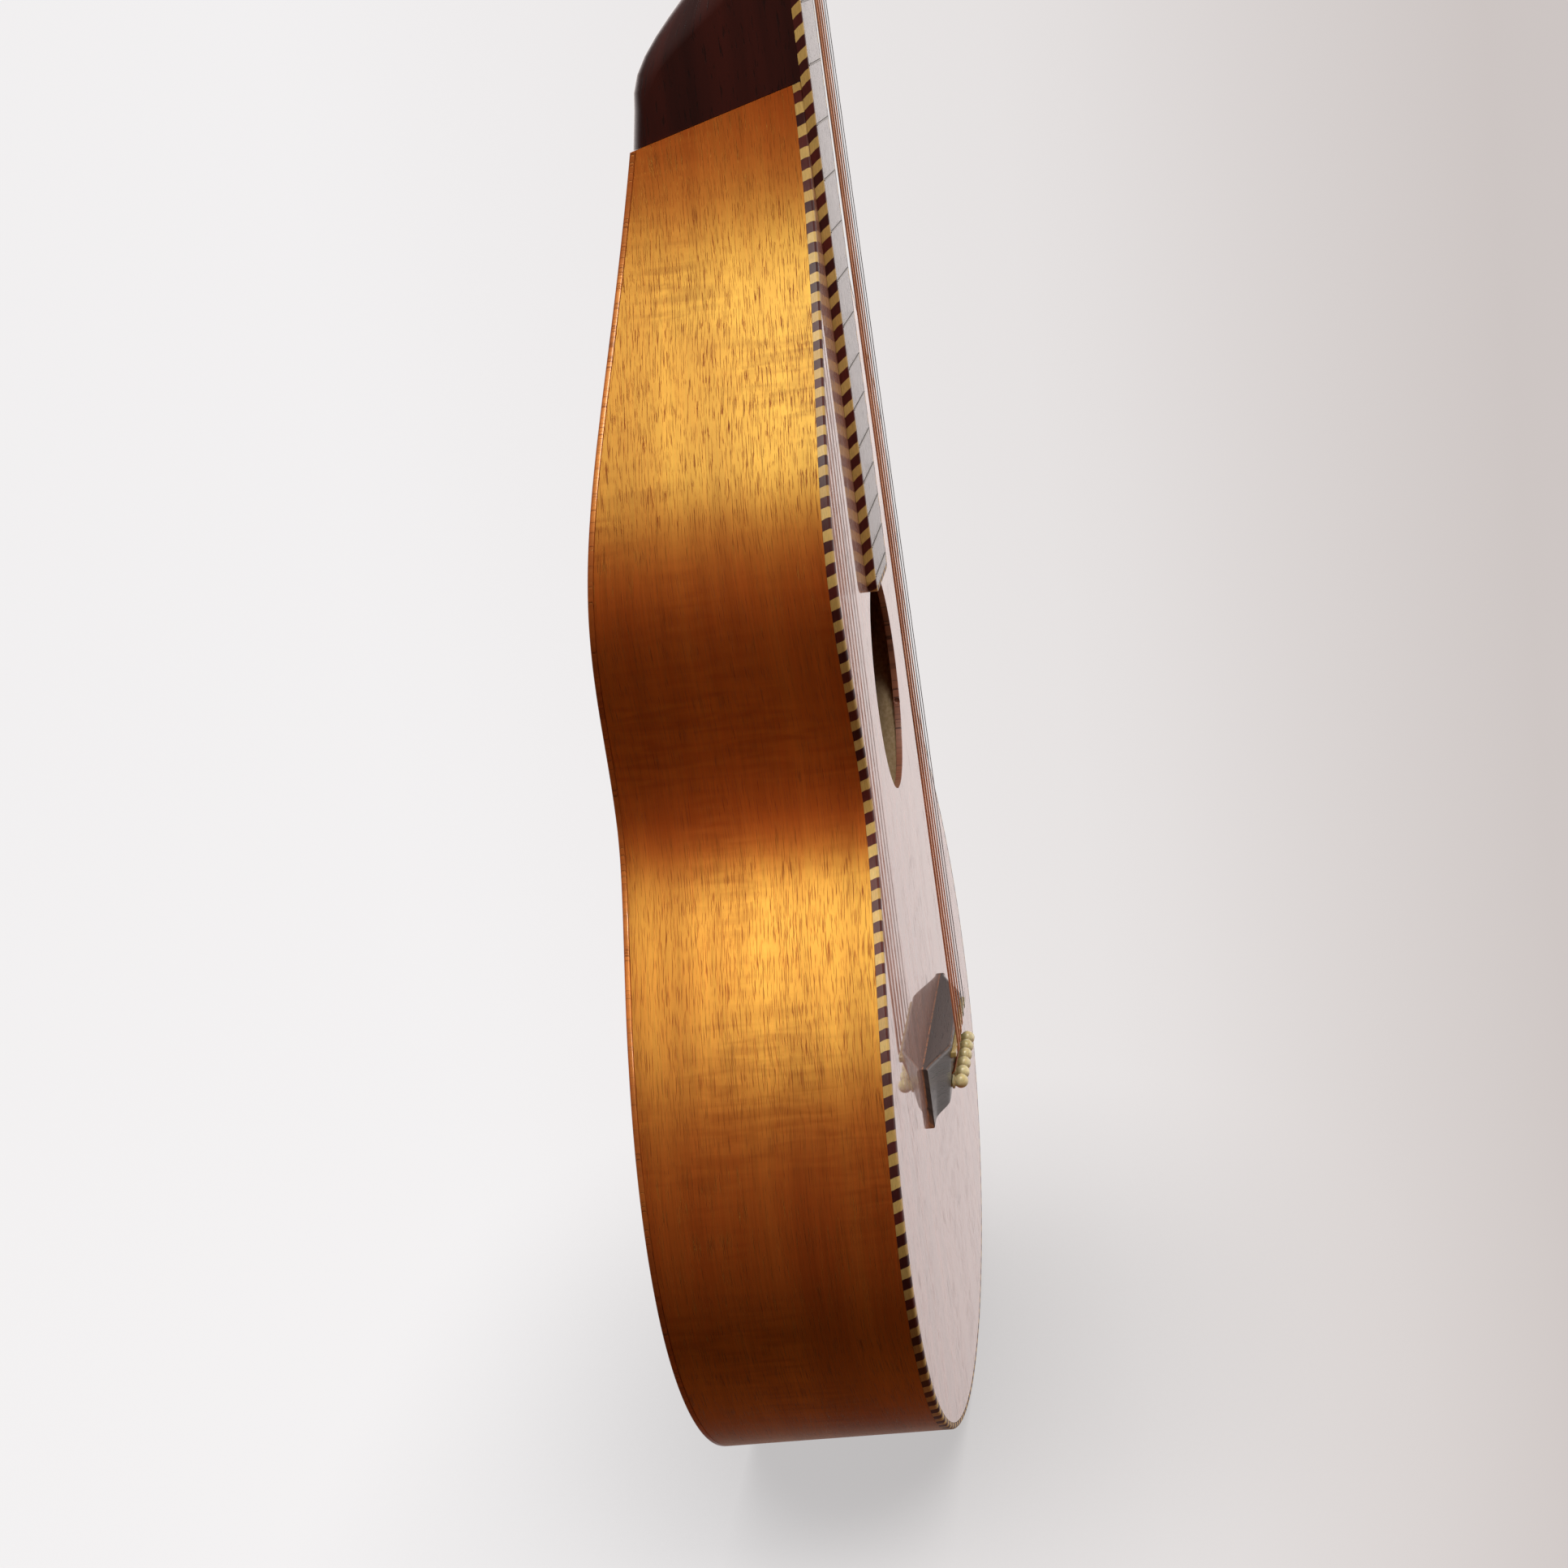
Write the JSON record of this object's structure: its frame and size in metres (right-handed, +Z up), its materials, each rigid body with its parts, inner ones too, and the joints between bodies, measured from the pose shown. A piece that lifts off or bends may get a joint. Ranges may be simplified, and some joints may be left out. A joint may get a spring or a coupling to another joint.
{
  "type": "hawaiian guitar",
  "caption": "Lap guitar with a solid neck: deep pear-shaped koa body, round soundhole, rope-pattern binding, pin bridge, raised nut and open-gear tuners that turn.",
  "frame": {"origin": "middle of the tail, at the bottom of the body, halfway between the front and back planes at the tail", "axes": "+Z up along the neck, +Y towards the back, +X to the treble side; the strings face -Y"},
  "size_m": [0.394, 0.1207, 0.9581],
  "materials": {
    "koa": "satin lacquer over golden-brown koa",
    "koa_front": "gloss lacquer over reddish-brown koa",
    "rope": "alternating blocks of maple and dark wood, lacquered",
    "rosewood": "oiled open-pored rosewood",
    "mahogany": "gloss lacquer over dark red mahogany",
    "spruce": "bare spruce",
    "bone": "polished, yellowed ivory colour",
    "button": "polished, yellowed ivory colour",
    "nickel": "nickel plate, slightly dulled",
    "plain_string": "plain steel wire",
    "wound_string": "bronze winding"
  },
  "bodies": {
    "guitar": {"soundboard": "koa_front", "back": "koa", "side_bass": "koa", "side_treble": "koa", "rope_binding": "rope", "fretboard_binding": "rope", "top_lining_bass": "spruce", "top_lining_treble": "spruce", "back_lining_bass": "spruce", "back_lining_treble": "spruce", "tail_block": "mahogany", "neck_block": "mahogany", "x_brace_bass_up": "spruce", "x_brace_treble_up": "spruce", "transverse_brace": "spruce", "tone_bar": "spruce", "back_brace_1": "spruce", "back_brace_2": "spruce", "back_brace_3": "spruce", "back_brace_4": "spruce", "bridge_plate": "rosewood", "bridge": "rosewood", "saddle": "bone", "bridge_pin_1": "bone", "bridge_pin_2": "bone", "bridge_pin_3": "bone", "bridge_pin_4": "bone", "bridge_pin_5": "bone", "bridge_pin_6": "bone", "fretboard": "rosewood", "nut": "bone", "neck": "mahogany", "tuner_plate_bass": "nickel", "tuner_plate_treble": "nickel", "string_1": "plain_string", "string_2": "plain_string", "string_3": "wound_string", "string_4": "wound_string", "string_5": "wound_string", "string_6": "wound_string"},
    "key_1": {"tuner_key_1": "nickel", "tuner_button_1": "button"},
    "key_2": {"tuner_key_2": "nickel", "tuner_button_2": "button"},
    "key_3": {"tuner_key_3": "nickel", "tuner_button_3": "button"},
    "key_4": {"tuner_key_4": "nickel", "tuner_button_4": "button"},
    "key_5": {"tuner_key_5": "nickel", "tuner_button_5": "button"},
    "key_6": {"tuner_key_6": "nickel", "tuner_button_6": "button"},
    "post_1": {"tuner_post_1": "nickel"},
    "post_2": {"tuner_post_2": "nickel"},
    "post_3": {"tuner_post_3": "nickel"},
    "post_4": {"tuner_post_4": "nickel"},
    "post_5": {"tuner_post_5": "nickel"},
    "post_6": {"tuner_post_6": "nickel"}
  },
  "joints": [
    {"name": "tuner_1_key", "type": "hinge", "parent": "guitar", "child": "key_1", "pos_m": [0.021, -0.02222, 0.82944], "axis": [1, 0, 0], "continuous": true},
    {"name": "tuner_2_key", "type": "hinge", "parent": "guitar", "child": "key_2", "pos_m": [0.021, -0.01432, 0.86661], "axis": [1, 0, 0], "continuous": true},
    {"name": "tuner_3_key", "type": "hinge", "parent": "guitar", "child": "key_3", "pos_m": [0.021, -0.00642, 0.90378], "axis": [1, 0, 0], "continuous": true},
    {"name": "tuner_4_key", "type": "hinge", "parent": "guitar", "child": "key_4", "pos_m": [-0.021, -0.00642, 0.90378], "axis": [1, 0, 0], "continuous": true},
    {"name": "tuner_5_key", "type": "hinge", "parent": "guitar", "child": "key_5", "pos_m": [-0.021, -0.01432, 0.86661], "axis": [1, 0, 0], "continuous": true},
    {"name": "tuner_6_key", "type": "hinge", "parent": "guitar", "child": "key_6", "pos_m": [-0.021, -0.02222, 0.82944], "axis": [1, 0, 0], "continuous": true},
    {"name": "tuner_1_post", "type": "hinge", "parent": "guitar", "child": "post_1", "pos_m": [0.021, -0.04168, 0.84273], "axis": [0, 0.9781, -0.2079], "continuous": true},
    {"name": "tuner_2_post", "type": "hinge", "parent": "guitar", "child": "post_2", "pos_m": [0.021, -0.03378, 0.8799], "axis": [0, 0.9781, -0.2079], "continuous": true},
    {"name": "tuner_3_post", "type": "hinge", "parent": "guitar", "child": "post_3", "pos_m": [0.021, -0.02588, 0.91707], "axis": [0, 0.9781, -0.2079], "continuous": true},
    {"name": "tuner_4_post", "type": "hinge", "parent": "guitar", "child": "post_4", "pos_m": [-0.021, -0.02588, 0.91707], "axis": [0, 0.9781, -0.2079], "continuous": true},
    {"name": "tuner_5_post", "type": "hinge", "parent": "guitar", "child": "post_5", "pos_m": [-0.021, -0.03378, 0.8799], "axis": [0, 0.9781, -0.2079], "continuous": true},
    {"name": "tuner_6_post", "type": "hinge", "parent": "guitar", "child": "post_6", "pos_m": [-0.021, -0.04168, 0.84273], "axis": [0, 0.9781, -0.2079], "continuous": true}
  ],
  "couplings": [
    {"joint": "tuner_1_post", "follows": "tuner_1_key", "ratio": 0.071429},
    {"joint": "tuner_2_post", "follows": "tuner_2_key", "ratio": 0.071429},
    {"joint": "tuner_3_post", "follows": "tuner_3_key", "ratio": 0.071429},
    {"joint": "tuner_4_post", "follows": "tuner_4_key", "ratio": 0.071429},
    {"joint": "tuner_5_post", "follows": "tuner_5_key", "ratio": 0.071429},
    {"joint": "tuner_6_post", "follows": "tuner_6_key", "ratio": 0.071429}
  ]
}
